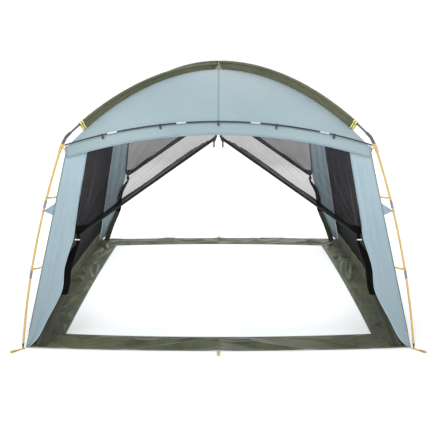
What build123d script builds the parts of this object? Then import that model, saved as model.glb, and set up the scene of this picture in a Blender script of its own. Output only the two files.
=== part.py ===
from build123d import *
from math import acos, asin, cos, degrees, radians, sin, sqrt
import os

# A ten-foot-square dome screen house, in millimetres.
# X runs along the front, the front door faces -Y, +Z is up, the origin is on the ground at the centre.

# Driving dimensions
HALF_GROUND = 1525.0  # half of the square that the walls' feet stand on
HALF_EAVE = 1203.0  # half of the square at the top of the walls
EAVE_Z = 1460.0
FOOT = 1543.0  # x and y of each pole foot
HUB = (1220.0, 1558.0)  # x and y of each hub, and its height
ELBOW = (1188.0, 1625.0)  # x and y of the bend above each hub, and its height
APEX_Z = 2176.0  # centre of the lower main pole at the middle
LEG_BOW = 55.0  # how far each leg bows outward
BROW_RISE = 190.0  # how far each brow pole rises above the hubs

POLE_R = 8.0
BROW_R = 5.5
FERRULE_WALL = 1.5
FERRULE_GAP = 0.3
SECTION_GAP = 1.0
CLOTH = 2.0
SEAM_GAP = 1.0
CORNER_GAP = 3 * SEAM_GAP
END_GAP = 0.5  # between parts that stand end to end

ROOF_APEX_Z = 2128.0
ROOF_CORNER_Z = 1530.0
ROOF_EDGE = 1200.0  # how far the roof's edge is from the centre
CROWN = 50.0  # half of the crown patch
FIN_DEPTH = 46.0
SLEEVE_R = 12.0
SLEEVE_MOUTH = 1519.0  # how far along the diagonal each sleeve reaches
SLEEVE_START = 60.0
BINDING = 32.0
FLAP = 105.0

DOOR_TOP = (22.0, 1195.0, 1625.0)  # where a curtain's free edge turns down from the vertical
EDGE_RISE = 35.0  # the upright end of the free edge above that turn
PANEL_TOP_X = 1030.0  # inner edge of a corner panel at the eave
TIE_Z = 840.0
TIE_X = 1108.0
SKIRT = 255.0
SKIRT_BOW = {"front": 60.0, "rear": 60.0, "left": 18.0, "right": 18.0}  # outward at the ground
BAND_Z = 124.0
FLOOR_GAP = 4.0  # the walls' feet stand this far above the ground

CORNERS = {
    "front_left": (-1, -1),
    "front_right": (1, -1),
    "rear_left": (-1, 1),
    "rear_right": (1, 1),
}
UP = Vector(0, 0, 1)
RISE = (HALF_GROUND - HALF_EAVE) / EAVE_Z  # inward lean of every wall


def half_width(z):
    """Half of the square through the walls at a height."""
    return HALF_GROUND - RISE * z


def arc_radius(half_chord, rise):
    return (half_chord**2 + rise**2) / (2 * rise)


class Arch:
    """A circular arc in the upright plane along a level direction; angles are from straight up."""

    def __init__(self, direction, centre, radius):
        self.along = Vector(*direction, 0).normalized()
        self.radius = radius
        self.centre = centre
        self.axis = UP.cross(self.along)

    def outward(self, angle):
        return self.along * sin(radians(angle)) + UP * cos(radians(angle))

    def point(self, angle, lift=0.0):
        return self.centre + self.outward(angle) * (self.radius + lift)

    def tangent(self, angle):
        return self.along * cos(radians(angle)) - UP * sin(radians(angle))

    def section(self, angle):
        """Plane across the arch, whose x points outward from the arc's centre."""
        return Plane(origin=self.point(angle), x_dir=self.outward(angle), z_dir=self.tangent(angle))

    def turn(self, length):
        """The angle that a length along the arc takes."""
        return degrees(length / self.radius)

    def spin(self, profile, angle):
        """Turn a profile along the arch, inside an open BuildPart."""
        revolve(profile, axis=Axis(self.centre, self.axis), revolution_arc=angle)


def save(part, name):
    part.label = name
    export_step(part, f"parts/{name}.step")


def rods(arch, cuts, radius):
    """Round pole sections between neighbouring cuts, inside an open BuildPart."""
    gap = arch.turn(SECTION_GAP)
    for low, high in zip(cuts, cuts[1:]):
        with BuildSketch(arch.section(low)) as section:
            Circle(radius)
        arch.spin(section.sketch, high - low - gap)


def rings(arch, places, length, radius):
    """Ferrule sleeves centred on places along an arch, inside an open BuildPart."""
    half = arch.turn(length) / 2
    for place in places:
        with BuildSketch(arch.section(place - half)) as section:
            Circle(radius + FERRULE_GAP + FERRULE_WALL)
            Circle(radius + FERRULE_GAP, mode=Mode.SUBTRACT)
        arch.spin(section.sketch, 2 * half)


# Main poles: each half runs from the elbow to the middle, and pole two crosses over pole one.
CROSSING_ROOM = 6.0
POLE_LIFT = {"one": 0.0, "two": 2 * POLE_R + CROSSING_ROOM}
POLE_ENDS = {"one": ("front_left", "rear_right"), "two": ("front_right", "rear_left")}
elbow_s = ELBOW[0] * sqrt(2)
hub_s = HUB[0] * sqrt(2)


def main_arch(pole):
    apex = APEX_Z + POLE_LIFT[pole]
    radius = arc_radius(elbow_s, apex - ELBOW[1])
    return Arch(CORNERS[POLE_ENDS[pole][1]], UP * (apex - radius), radius)


def pole_of(corner):
    return "one" if corner in POLE_ENDS["one"] else "two"


def corner_arch(corner):
    """The corner's own half of its main pole, with angles growing towards the corner."""
    arch = main_arch(pole_of(corner))
    return Arch(CORNERS[corner], arch.centre, arch.radius)


def leg_arch(corner):
    """The bowed leg, with angles growing towards the foot."""
    foot_s = FOOT * sqrt(2)
    run, drop = foot_s - hub_s, HUB[1]
    chord = sqrt(run**2 + drop**2)
    radius = arc_radius(chord / 2, LEG_BOW)
    out_s, out_z = drop / chord, run / chord
    reach = radius - LEG_BOW
    along = Vector(*CORNERS[corner], 0).normalized()
    centre = along * ((foot_s + hub_s) / 2 - out_s * reach) + UP * (HUB[1] / 2 - out_z * reach)
    return Arch(CORNERS[corner], centre, radius)


def angle_at(arch, height):
    """Angle of the point at a height on an arch's outer side."""
    return degrees(acos((height - arch.centre.Z) / arch.radius))


TIP_TOP = 45.0
SOCKET = 34.0  # depth of a hub's sockets
HUB_R = 11.5
SOCKET_FLOOR = 2.0  # metal left between the brow pole's socket and the hub's bore
HUB_REACH = 50.0
HUB_ROOM = 0.8
HUB_BEND = 60.0  # radius of the hub tube's two bends
LEG_FERRULES = (590.0, 1125.0)
LEG_FERRULE = 62.0

os.makedirs("parts", exist_ok=True)

# Legs
for corner in CORNERS:
    arch = leg_arch(corner)
    top = angle_at(arch, HUB[1]) + arch.turn(HUB_REACH - SOCKET + SECTION_GAP)
    cuts = [top, angle_at(arch, LEG_FERRULES[1]), angle_at(arch, LEG_FERRULES[0]), angle_at(arch, TIP_TOP)]
    with BuildPart() as leg:
        rods(arch, cuts, POLE_R)
    save(leg.part, f"leg_{corner}")

# Pole tips: a cup under each leg with a round nose that stands on the corner webbing
STRAP = 2.5  # thickness of the stake loops' webbing
TIP_R = 9.5
NOSE_R = 5.2
NOSE_Z = STRAP + 8.0
with BuildPart() as pole_tips:
    for corner in CORNERS:
        arch = leg_arch(corner)
        end = angle_at(arch, TIP_TOP) + arch.turn(END_GAP)
        nose = angle_at(arch, NOSE_Z)
        with BuildSketch(arch.section(end)):
            Circle(TIP_R)
        with BuildSketch(arch.section(nose)):
            Circle(NOSE_R)
        loft(ruled=True)
save(pole_tips.part, "pole_tips")

# Hubs: a bent tube with a socket for the leg, one for the roof pole and one for the brow pole
brow_half = HUB[0]
brow_radius = arc_radius(brow_half, BROW_RISE)
BROW_LEAN = degrees(asin(brow_half / brow_radius))
BROW_REACH = 34.0
BROW_SOCKET_WALL = 3.0


def hub_path(corner):
    leg, roof = leg_arch(corner), corner_arch(corner)
    leg_angle = angle_at(leg, HUB[1])
    roof_angle = degrees(asin(elbow_s / roof.radius))
    joint, bend = leg.point(leg_angle), roof.point(roof_angle)
    low = joint + leg.tangent(leg_angle) * HUB_REACH
    high = bend - roof.tangent(roof_angle) * HUB_REACH
    return low, joint, bend, high


for corner, (side, depth) in CORNERS.items():
    low, joint, bend, high = hub_path(corner)
    reach = Vector(-side * cos(radians(BROW_LEAN)), 0, sin(radians(BROW_LEAN)))
    with BuildPart() as hub:
        with BuildLine() as path:
            FilletPolyline(low, joint, bend, high, radius=HUB_BEND)
        with BuildSketch(Plane(origin=low, z_dir=joint - low)):
            Circle(HUB_R)
        sweep()
        with BuildSketch(Plane(origin=joint, z_dir=reach)):
            Circle(BROW_R + BROW_SOCKET_WALL)
        extrude(amount=BROW_REACH)
        for end, inner in ((low, joint), (high, bend)):
            with BuildSketch(Plane(origin=end, z_dir=inner - end)):
                Circle(POLE_R + HUB_ROOM)
            extrude(amount=SOCKET, mode=Mode.SUBTRACT)
        with BuildSketch(Plane(origin=joint + reach * BROW_REACH, z_dir=reach * -1)):
            Circle(BROW_R + FERRULE_GAP)
        extrude(amount=BROW_REACH - HUB_R - SOCKET_FLOOR, mode=Mode.SUBTRACT)
    save(hub.part, f"hub_{corner}")

# Main roof poles, and the ferrules that join the sections of legs and roof poles
ROOF_CUT = 750.0
ROOF_FERRULE = 90.0
for pole in POLE_ENDS:
    arch = main_arch(pole)
    end = degrees(asin(elbow_s / arch.radius)) - arch.turn(HUB_REACH - SOCKET + SECTION_GAP)
    cut = degrees(asin(ROOF_CUT / arch.radius))
    with BuildPart() as roof_pole:
        rods(arch, [-end, -cut, cut, end], POLE_R)
    save(roof_pole.part, f"roof_pole_{pole}")

with BuildPart() as pole_ferrules:
    for corner in CORNERS:
        arch = leg_arch(corner)
        rings(arch, [angle_at(arch, z) for z in LEG_FERRULES], LEG_FERRULE, POLE_R)
    for pole in POLE_ENDS:
        arch = main_arch(pole)
        cut = degrees(asin(ROOF_CUT / arch.radius))
        rings(arch, [-cut, cut], ROOF_FERRULE, POLE_R)
save(pole_ferrules.part, "pole_ferrules")

# Pole sleeves: a tunnel round the pole with a fin down to the roof seam
SLEEVE_ROOM = 0.7
sleeve_bore = POLE_R + FERRULE_GAP + FERRULE_WALL + SLEEVE_ROOM


def sleeve_profile(arch, angle):
    with BuildSketch(arch.section(angle)) as profile:
        Circle(SLEEVE_R)
        with Locations((-(FIN_DEPTH + sleeve_bore) / 2, 0)):
            Rectangle(FIN_DEPTH - sleeve_bore, CLOTH)
        Circle(sleeve_bore, mode=Mode.SUBTRACT)
    return profile.sketch


for pole, ends in POLE_ENDS.items():
    with BuildPart() as sleeve:
        for corner in ends:
            arch = corner_arch(corner)
            start = degrees(asin(SLEEVE_START / arch.radius))
            mouth = degrees(asin(SLEEVE_MOUTH / arch.radius))
            arch.spin(sleeve_profile(arch, start), mouth - start)
    save(sleeve.part, f"pole_sleeves_{pole}")

with BuildPart() as sleeve_bindings:
    for corner in CORNERS:
        arch = corner_arch(corner)
        mouth = degrees(asin(SLEEVE_MOUTH / arch.radius))
        arch.spin(sleeve_profile(arch, mouth + arch.turn(END_GAP)), arch.turn(BINDING))
save(sleeve_bindings.part, "sleeve_bindings")

# Roof panels: arched over the doors, almost straight over the side walls
FACES = {"front": (0, -1), "rear": (0, 1), "left": (-1, 0), "right": (1, 0)}
crease_radius = arc_radius(ROOF_EDGE * sqrt(2), ROOF_APEX_Z - ROOF_CORNER_Z)
ROOF_RISE = {"front": 212.0, "rear": 212.0, "left": 8.0, "right": 8.0}
ROOF_STATIONS = 7


def crease_height(reach):
    """Height of the seam between two roof panels at a distance from the centre."""
    return ROOF_APEX_Z - crease_radius + sqrt(crease_radius**2 - 2 * reach**2)


def face_plane(face, reach, height=0.0):
    """Upright plane facing outward, with x to its right and y up."""
    out = Vector(*FACES[face], 0)
    return Plane(origin=out * reach + UP * height, x_dir=UP.cross(out), z_dir=out)


def arched_band(plane, half, side_z, middle_z, depth):
    """A band under an arch."""
    with BuildSketch(plane) as band:
        with BuildLine():
            ThreePointArc((-half, side_z), (0, middle_z), (half, side_z))
            Line((half, side_z), (half, side_z - depth))
            ThreePointArc((half, side_z - depth), (0, middle_z - depth), (-half, side_z - depth))
            Line((-half, side_z - depth), (-half, side_z))
        make_face()
    return band.sketch


for face in FACES:
    bands = []
    for step in range(ROOF_STATIONS):
        reach = CROWN + SEAM_GAP + (ROOF_EDGE - CROWN - SEAM_GAP) * step / (ROOF_STATIONS - 1)
        side_z = crease_height(reach)
        rise = 1 + ROOF_RISE[face] * (reach / ROOF_EDGE) ** 2
        plane = face_plane(face, reach)
        bands.append(arched_band(plane, reach - CORNER_GAP, side_z, side_z + rise, CLOTH))
    with BuildPart() as roof:
        loft(bands)
    save(roof.part, f"roof_{face}")

with BuildPart() as crown_patch:
    with BuildSketch(Plane.XY.offset(crease_height(CROWN) - CLOTH)):
        Rectangle(2 * CROWN, 2 * CROWN)
    extrude(amount=CLOTH)
save(crown_patch.part, "crown_patch")

# Brow poles, their ferrules, clips and flaps
BROW_CUTS = (-820.0, -285.0, 285.0, 820.0)
BROW_FERRULE = 75.0
CLIP_PLACES = (-900.0, -450.0, 0.0, 450.0, 900.0)
CLIP_WALL = 3.0
CLIP_WIDTH = 14.0
CLIP_TAIL = 26.0
BROW_END = 6.0  # each brow pole stops this far outside the hub's tube
FLAP_TOP = 14.0  # below the brow pole's centre line
FLAP_HALF = 1185.0
FLAP_INSET = 12.0  # the flap's outer face behind the brow pole's centre line


def brow_arch(face):
    out = Vector(*FACES[face], 0)
    across = UP.cross(out)
    centre = out * HUB[0] + UP * (HUB[1] + BROW_RISE - brow_radius)
    return Arch((across.X, across.Y), centre, brow_radius)


def brow_angle(across):
    return degrees(asin(across / brow_radius))


for face in ("front", "rear"):
    arch = brow_arch(face)
    end = brow_angle(brow_half - HUB_R - BROW_END)
    with BuildPart() as brow_pole:
        rods(arch, [-end] + [brow_angle(x) for x in BROW_CUTS] + [end], BROW_R)
    save(brow_pole.part, f"brow_pole_{face}")

with BuildPart() as brow_ferrules:
    for face in ("front", "rear"):
        rings(brow_arch(face), [brow_angle(x) for x in BROW_CUTS], BROW_FERRULE, BROW_R)
save(brow_ferrules.part, "brow_ferrules")

with BuildPart() as brow_clips:
    for face in ("front", "rear"):
        arch = brow_arch(face)
        for place in CLIP_PLACES:
            across = arch.section(brow_angle(place))
            with BuildSketch(across):
                Circle(BROW_R + FERRULE_GAP + CLIP_WALL)
                with Locations((-(BROW_R + CLIP_TAIL / 2 + 1), 0)):
                    Rectangle(CLIP_TAIL, CLIP_WALL * 2)
                Circle(BROW_R + FERRULE_GAP, mode=Mode.SUBTRACT)
                with Locations((BROW_R + CLIP_WALL, 0)):
                    Rectangle(2 * CLIP_WALL, BROW_R, mode=Mode.SUBTRACT)
            extrude(amount=CLIP_WIDTH / 2, both=True)
save(brow_clips.part, "brow_clips")

for face in ("front", "rear"):
    middle = HUB[1] + BROW_RISE - FLAP_TOP
    side = middle - brow_radius + sqrt(brow_radius**2 - FLAP_HALF**2)
    with BuildPart() as flap:
        plane = face_plane(face, HUB[0] - FLAP_INSET)
        extrude(arched_band(plane, FLAP_HALF, side, middle, FLAP - FLAP_TOP), amount=-CLOTH)
    save(flap.part, f"brow_flap_{face}")

# Hub straps: short webbing between each roof corner and the hub
HUB_STRAP = 18.0
STRAP_FOOT = (2.0, 6.0)  # out from the roof's corner, and below it
STRAP_HEAD = (3.0, 16.0)  # in from the hub, and below its bend
with BuildPart() as hub_straps:
    for corner, (side, depth) in CORNERS.items():
        out = Vector(side, depth, 0).normalized()
        inner = out * (ROOF_EDGE * sqrt(2) + STRAP_FOOT[0]) + UP * (ROOF_CORNER_Z - STRAP_FOOT[1])
        outer = out * (hub_s - HUB_R - STRAP_HEAD[0]) + UP * (HUB[1] - STRAP_HEAD[1])
        with BuildSketch(Plane(origin=inner, z_dir=outer - inner, x_dir=UP.cross(out))):
            Rectangle(HUB_STRAP, CLOTH)
        extrude(amount=(outer - inner).length)
save(hub_straps.part, "hub_straps")


# Corner panels: flat cloth strips of the front and rear walls, wider at the top
def wall_point(x, z, depth, inset=0.0):
    return Vector(x, depth * (half_width(z) - inset), z)


def wall_plane(side, depth):
    """Plane of the front or rear wall, with x towards the corner and y up the slope."""
    foot = Vector(0, depth * HALF_GROUND, 0)
    up_slope = Vector(0, -depth * RISE, 1).normalized()
    x_dir = Vector(side, 0, 0)
    return Plane(origin=foot, x_dir=x_dir, z_dir=x_dir.cross(up_slope))


slope_length = sqrt(1 + RISE**2)
PANEL_TOP_Z = 1520.0
PANEL_EDGE = (  # distance from the middle and height along the tied-back lower edge
    (1145.0, TIE_Z),
    (1215.0, 627.0),
    (1240.0, 440.0),
    (1355.0, 220.0),
    (1430.0, 80.0),
    (1505.0, FLOOR_GAP),
)
for corner, (side, depth) in CORNERS.items():
    lower = [(x, z * slope_length) for x, z in PANEL_EDGE]
    top_inner = (PANEL_TOP_X, PANEL_TOP_Z * slope_length)
    top_outer = (half_width(EAVE_Z) - CORNER_GAP, EAVE_Z * slope_length)
    foot_outer = (half_width(FLOOR_GAP) - CORNER_GAP, FLOOR_GAP * slope_length)
    with BuildPart() as panel:
        with BuildSketch(wall_plane(side, depth)):
            with BuildLine():
                Polyline(lower[0], top_inner, top_outer, foot_outer, lower[-1])
                Spline(*reversed(lower))
            make_face()
        extrude(amount=CLOTH / 2, both=True)
    save(panel.part, f"corner_panel_{corner}")


# Side walls and the bands under them: straight at the eave, bowed outward at the ground
WALL_TOP_Z = 1522.0


def wall_section(face, z):
    """Thin band along a side wall at a height."""
    reach = half_width(z)
    half = reach - CORNER_GAP
    bow = 1 + SKIRT_BOW[face] * (1 - z / EAVE_Z)
    out = Vector(*FACES[face], 0)
    with BuildSketch(Plane(origin=out * reach + UP * z, x_dir=UP.cross(out), z_dir=UP)) as section:
        with BuildLine():
            ThreePointArc((-half, 0), (0, -bow), (half, 0))
            Line((half, 0), (half, CLOTH))
            ThreePointArc((half, CLOTH), (0, CLOTH - bow), (-half, CLOTH))
            Line((-half, CLOTH), (-half, 0))
        make_face()
    return section.sketch


for face in ("left", "right"):
    for name, low, high in (
        ("wall_band", FLOOR_GAP, BAND_Z),
        ("side_wall", BAND_Z + SEAM_GAP, WALL_TOP_Z),
    ):
        with BuildPart() as wall:
            loft([wall_section(face, low), wall_section(face, high)], ruled=True)
        save(wall.part, f"{name}_{face}")


# Door curtains: a flat spread of mesh above the free edge, and a gathered tail below the tie
CURTAIN_INSET = 8.0
NECK_Z = TIE_Z + 35.0  # where the spread cloth meets the tie-back
BROW_HALFWAY = (560.0, 1197.0, 1630.0)  # the curtain's top edge half way along the brow flap


def curtain_plane(corner):
    """Plane of a tied-back curtain: x runs down its free edge, y into the cloth."""
    side, depth = CORNERS[corner]
    top = Vector(side * DOOR_TOP[0], depth * DOOR_TOP[1], DOOR_TOP[2])
    tie = wall_point(side * TIE_X, NECK_Z, depth, inset=CURTAIN_INSET)
    eave = wall_point(side * PANEL_TOP_X, PANEL_TOP_Z, depth)
    return Plane(origin=top, x_dir=tie - top, z_dir=(tie - top).cross(eave - top))


def free_edge_length(corner):
    side, depth = CORNERS[corner]
    top = Vector(side * DOOR_TOP[0], depth * DOOR_TOP[1], DOOR_TOP[2])
    return (wall_point(side * TIE_X, NECK_Z, depth, inset=CURTAIN_INSET) - top).length


def rise_direction(corner):
    """Unit direction of the free edge's upright end, in the curtain's plane."""
    plane = curtain_plane(corner)
    rise = plane.to_local_coords(plane.origin + UP)
    return Vector(rise.X, rise.Y, 0).normalized()


TAIL_SECTIONS = (  # x and height of the middle, and the two half sizes
    (TIE_X, TIE_Z + 28, 14.0, 14.0),
    (TIE_X, TIE_Z - 28, 14.0, 14.0),
    (1158.0, 720.0, 28.0, 20.0),
    (1200.0, 600.0, 34.0, 22.0),
    (1230.0, 430.0, 38.0, 24.0),
    (1330.0, 210.0, 40.0, 26.0),
    (1410.0, FLOOR_GAP + 1, 46.0, 26.0),
)
TAIL_INSET = 4.0
NECK_ROOM = 22.0  # the flat cloth stops this far before the tie-back
NECK_SIDE = (14.0, 10.0)  # from the neck to the cloth's corner at the panel, across and up
EDGE_ROOM = 2.0  # between the cloth and its zip tape
SEWN_ROOM = 3.0  # between the cloth and the corner panel
for corner, (side, depth) in CORNERS.items():
    plane = curtain_plane(corner)
    outline = [
        Vector(side * BROW_HALFWAY[0], depth * BROW_HALFWAY[1], BROW_HALFWAY[2]),
        wall_point(side * (PANEL_TOP_X - SEWN_ROOM), PANEL_TOP_Z - SEWN_ROOM, depth),
        wall_point(side * (TIE_X + NECK_SIDE[0]), NECK_Z + NECK_SIDE[1], depth),
    ]
    arch_top, eave, tie = [plane.to_local_coords(p) for p in outline]
    length = free_edge_length(corner)
    with BuildPart() as curtain:
        with BuildSketch(plane):
            rise = rise_direction(corner)
            turn = (0, EDGE_ROOM)
            start = (rise.X * EDGE_RISE + EDGE_ROOM, rise.Y * EDGE_RISE + EDGE_ROOM)
            with BuildLine():
                ThreePointArc(start, (arch_top.X, arch_top.Y), (eave.X, eave.Y))
                Polyline((eave.X, eave.Y), (tie.X, tie.Y), (length - NECK_ROOM, EDGE_ROOM), turn, start)
            make_face()
        extrude(amount=CLOTH / 2, both=True)
        for x, z, wide, deep in TAIL_SECTIONS:
            centre = wall_point(side * x, z, depth, inset=deep + TAIL_INSET)
            with BuildSketch(Plane(origin=centre)):
                Ellipse(wide, deep)
        loft(ruled=True)
    save(curtain.part, f"door_curtain_{corner}")

# Zip tapes: a flat tape with a coil bead along each free edge
TAPE = 12.0
TAPE_THICK = 1.6
COIL = 4.5
COIL_LAP = 0.5  # the coil's overlap on its tape
TAPE_END = 30.0  # the tape stops this far before the tie-back


def edge_section(corner, along):
    """Plane across a free edge, with x into the cloth and y out of the curtain's plane."""
    plane = curtain_plane(corner)
    return Plane(origin=plane.origin + plane.x_dir * along, x_dir=plane.y_dir, z_dir=plane.x_dir)


with BuildPart() as zip_tapes:
    for corner in CORNERS:
        with BuildSketch(edge_section(corner, 0)):
            with Locations((-TAPE / 2, 0)):
                Rectangle(TAPE, TAPE_THICK)
            with Locations((-TAPE - COIL / 2 + COIL_LAP, 0)):
                Rectangle(COIL, COIL)
        extrude(amount=free_edge_length(corner) - TAPE_END)
        rise = rise_direction(corner)
        foot, head = Vector(0, 0, 0), rise * EDGE_RISE
        across = Vector(-rise.Y, rise.X, 0) * TAPE
        with BuildSketch(curtain_plane(corner)):
            with BuildLine():
                Polyline(foot, head, head + across, foot + across, (0, -TAPE), foot)
            make_face()
        extrude(amount=TAPE_THICK / 2, both=True)
save(zip_tapes.part, "zip_tapes")

# Zip sliders and pulls: the slider wraps the coil, and the pull hangs from a level pin
SLIDER_START = 10.0
SLIDER = (20.0, 12.0, 28.0)  # across the tape, through it, and along it
SLIDER_ROOM = 0.8
PIN_R = 1.6
PIN_OUT = 17.0
PULL_WIDTH = 12.0
PULL_LENGTH = 52.0
PULL_NECK = 7.0  # the two arms between the pull's barrel and its plate
ARM = 3.0
BARREL_WALL = 1.8
PIN_ROOM = 0.4
POST_WIDTH = 4.0
POST_HEIGHT = 7.0
POST_ROOT = 2.0
NOTCH_ROOM = 0.6


def slider_centre(corner):
    section = edge_section(corner, SLIDER_START + SLIDER[2] / 2)
    return section.origin - section.x_dir * (TAPE + 1)


def pin_point(corner):
    depth = CORNERS[corner][1]
    return slider_centre(corner) + Vector(0, depth * PIN_OUT, 0)


for corner, (side, depth) in CORNERS.items():
    out = Vector(0, depth, 0)
    pin = pin_point(corner)
    with BuildPart() as slider:
        with BuildSketch(edge_section(corner, SLIDER_START)):
            with Locations((-(TAPE + 1), 0)):
                RectangleRounded(SLIDER[0], SLIDER[1], 3)
        extrude(amount=SLIDER[2])
        with BuildSketch(Plane(origin=pin - out * (PIN_OUT - POST_ROOT), x_dir=Vector(1, 0, 0), z_dir=out)):
            Rectangle(POST_WIDTH, POST_HEIGHT)
        extrude(amount=PIN_OUT)
        with BuildSketch(Plane(origin=pin, x_dir=out, z_dir=Vector(1, 0, 0))):
            Circle(PIN_R)
        extrude(amount=PULL_WIDTH / 2, both=True)
        with BuildSketch(edge_section(corner, SLIDER_START)):
            with Locations((-TAPE - COIL / 2 + COIL_LAP, 0)):
                Rectangle(COIL + 2 * SLIDER_ROOM, COIL + 2 * SLIDER_ROOM)
            with Locations((SLIDER[0] / 2 - TAPE, 0)):
                Rectangle(SLIDER[0], TAPE_THICK + 2 * SLIDER_ROOM)
        extrude(amount=SLIDER[2], mode=Mode.SUBTRACT)
    save(slider.part, f"zip_slider_{corner}")

    with BuildPart() as pull:
        barrel = PIN_R + PIN_ROOM + BARREL_WALL
        with BuildSketch(Plane(origin=pin, x_dir=out, z_dir=Vector(1, 0, 0))):
            Circle(barrel)
            Circle(PIN_R + PIN_ROOM, mode=Mode.SUBTRACT)
        extrude(amount=PULL_WIDTH / 2, both=True)
        arm_x, arm_y = (PULL_WIDTH - ARM) / 2, -(PULL_NECK + barrel) / 2
        with BuildSketch(Plane(origin=pin, x_dir=UP.cross(out), z_dir=out)):
            with Locations((0, -(PULL_LENGTH + PULL_NECK) / 2)):
                RectangleRounded(PULL_WIDTH, PULL_LENGTH - PULL_NECK, 3)
            with Locations((arm_x, arm_y), (-arm_x, arm_y)):
                Rectangle(ARM, PULL_NECK)
        extrude(amount=CLOTH / 2, both=True)
        with BuildSketch(Plane(origin=pin, x_dir=out, z_dir=Vector(1, 0, 0))):
            Circle(barrel + NOTCH_ROOM)
        extrude(amount=POST_WIDTH / 2 + SLIDER_ROOM, both=True, mode=Mode.SUBTRACT)
    save(pull.part, f"zip_pull_{corner}")

# Tie-backs: a loop round the gathered curtain, with a post that carries the toggle
TIE_R = 18.0
TIE_BAND = 20.0
POST_R = 1.8
TOGGLE_R = 4.5
TOGGLE_LENGTH = 38.0
TOGGLE_OUT = 8.0
TOGGLE_SINK = 0.5  # the toggle sits this much closer, off the post's head
HEAD_ROOM = 2.0
HEAD = 2.0


def tie_centre(corner):
    side, depth = CORNERS[corner]
    return wall_point(side * TIE_X, TIE_Z, depth, inset=TIE_R)


with BuildPart() as tie_backs:
    for corner, (side, depth) in CORNERS.items():
        centre = tie_centre(corner)
        out = Vector(0, depth, 0)
        with BuildSketch(Plane(origin=centre - UP * TIE_BAND / 2)):
            Circle(TIE_R + CLOTH)
            Circle(TIE_R, mode=Mode.SUBTRACT)
        extrude(amount=TIE_BAND)
        start = centre + out * (TIE_R + CLOTH / 2)
        with BuildSketch(Plane(origin=start, z_dir=out)):
            Circle(POST_R)
        extrude(amount=TOGGLE_OUT + TOGGLE_R + HEAD_ROOM)
        head = start + out * (TOGGLE_OUT + TOGGLE_R + HEAD_ROOM)
        with BuildSketch(Plane(origin=head, z_dir=out)):
            Circle(POST_R * 2)
        extrude(amount=HEAD)
save(tie_backs.part, "tie_backs")


def toggle_centre(corner):
    depth = CORNERS[corner][1]
    return tie_centre(corner) + Vector(0, depth, 0) * (TIE_R + CLOTH + TOGGLE_OUT - TOGGLE_SINK)


for corner, (side, depth) in CORNERS.items():
    centre = toggle_centre(corner)
    with BuildPart() as toggle:
        with BuildSketch(Plane(origin=centre, z_dir=Vector(1, 0, 0))):
            Circle(TOGGLE_R)
        extrude(amount=TOGGLE_LENGTH / 2, both=True)
        fillet(toggle.edges().filter_by(GeomType.CIRCLE), radius=2)
        with BuildSketch(Plane(origin=centre, z_dir=Vector(0, depth, 0))):
            Circle(POST_R + PIN_ROOM)
        extrude(amount=TOGGLE_R * 2, both=True, mode=Mode.SUBTRACT)
    save(toggle.part, f"toggle_{corner}")

# Leg ties and tabs: webbing rings round the legs, held to the corner seams
TIE_HEIGHTS = (630.0, 1171.0)
TAB_HEIGHT = 1072.0
RING_WALL = 2.5
TIE_WIDTH = 16.0
TIE_START = 3.0  # from the corner seam to the start of a tie's strap
STRAP_LAP = RING_WALL / 10  # the strap's overlap on its ring
STRAP_SHY = 2.0  # the strap is this much narrower than its ring on each side


def ring_and_strap(corner, z, width, strap_half):
    """Webbing ring round a leg with a strap inward to the corner seam, inside an open BuildPart."""
    arch = leg_arch(corner)
    section = arch.section(angle_at(arch, z))
    ring_r = POLE_R + 2 * FERRULE_GAP
    out = arch.along
    seam_s = half_width(section.origin.Z) * sqrt(2) + TIE_START
    leg_s = section.origin.dot(out)
    strap = leg_s - ring_r - RING_WALL + STRAP_LAP - seam_s
    with BuildSketch(section) as ring:
        Circle(ring_r + RING_WALL)
        Circle(ring_r, mode=Mode.SUBTRACT)
    extrude(ring.sketch, amount=width / 2, both=True)
    start = out * seam_s + UP * section.origin.Z
    with BuildSketch(Plane(origin=start, x_dir=UP.cross(out), z_dir=out)) as band:
        Rectangle(CLOTH, 2 * strap_half)
    extrude(band.sketch, amount=strap)


with BuildPart() as leg_ties:
    for corner in CORNERS:
        for height in TIE_HEIGHTS:
            ring_and_strap(corner, height, TIE_WIDTH, TIE_WIDTH / 2 - STRAP_SHY)
save(leg_ties.part, "leg_ties")

TAB_BASE = 95.0
TAB_TIP = 12.0
TAB_ROOM = 4.0  # clear of the seam and of the leg
with BuildPart() as leg_tabs:
    for corner in CORNERS:
        arch = leg_arch(corner)
        point = arch.point(angle_at(arch, TAB_HEIGHT))
        out = arch.along
        seam_s = half_width(TAB_HEIGHT) * sqrt(2) + TAB_ROOM
        tip = point.dot(out) - POLE_R - TAB_ROOM
        with BuildSketch(Plane(origin=(0, 0, 0), x_dir=out, z_dir=out.cross(UP))):
            with BuildLine():
                Polyline(
                    (seam_s - RISE * TAB_BASE / 2 * sqrt(2), TAB_HEIGHT + TAB_BASE / 2),
                    (tip, TAB_HEIGHT + TAB_TIP / 2),
                    (tip, TAB_HEIGHT - TAB_TIP / 2),
                    (seam_s + RISE * TAB_BASE / 2 * sqrt(2), TAB_HEIGHT - TAB_BASE / 2),
                    close=True,
                )
            make_face()
        extrude(amount=CLOTH / 2, both=True)
save(leg_tabs.part, "leg_tabs")

# Skirt: four mitred strips on the ground, bowed outward at the middle of each side
for face in FACES:
    out = Vector(*FACES[face], 0)
    outer, inner = HALF_GROUND, HALF_GROUND - SKIRT
    mitre, bow = SEAM_GAP, SKIRT_BOW[face]
    with BuildPart() as skirt:
        with BuildSketch(Plane(origin=(0, 0, 0), x_dir=UP.cross(out), z_dir=UP)):
            with BuildLine():
                ThreePointArc((-outer + mitre, -outer), (0, -outer - bow), (outer - mitre, -outer))
                Line((outer - mitre, -outer), (inner - mitre, -inner))
                ThreePointArc((inner - mitre, -inner), (0, -inner - bow), (-inner + mitre, -inner))
                Line((-inner + mitre, -inner), (-outer + mitre, -outer))
            make_face()
        extrude(amount=CLOTH)
    save(skirt.part, f"skirt_{face}")

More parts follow.
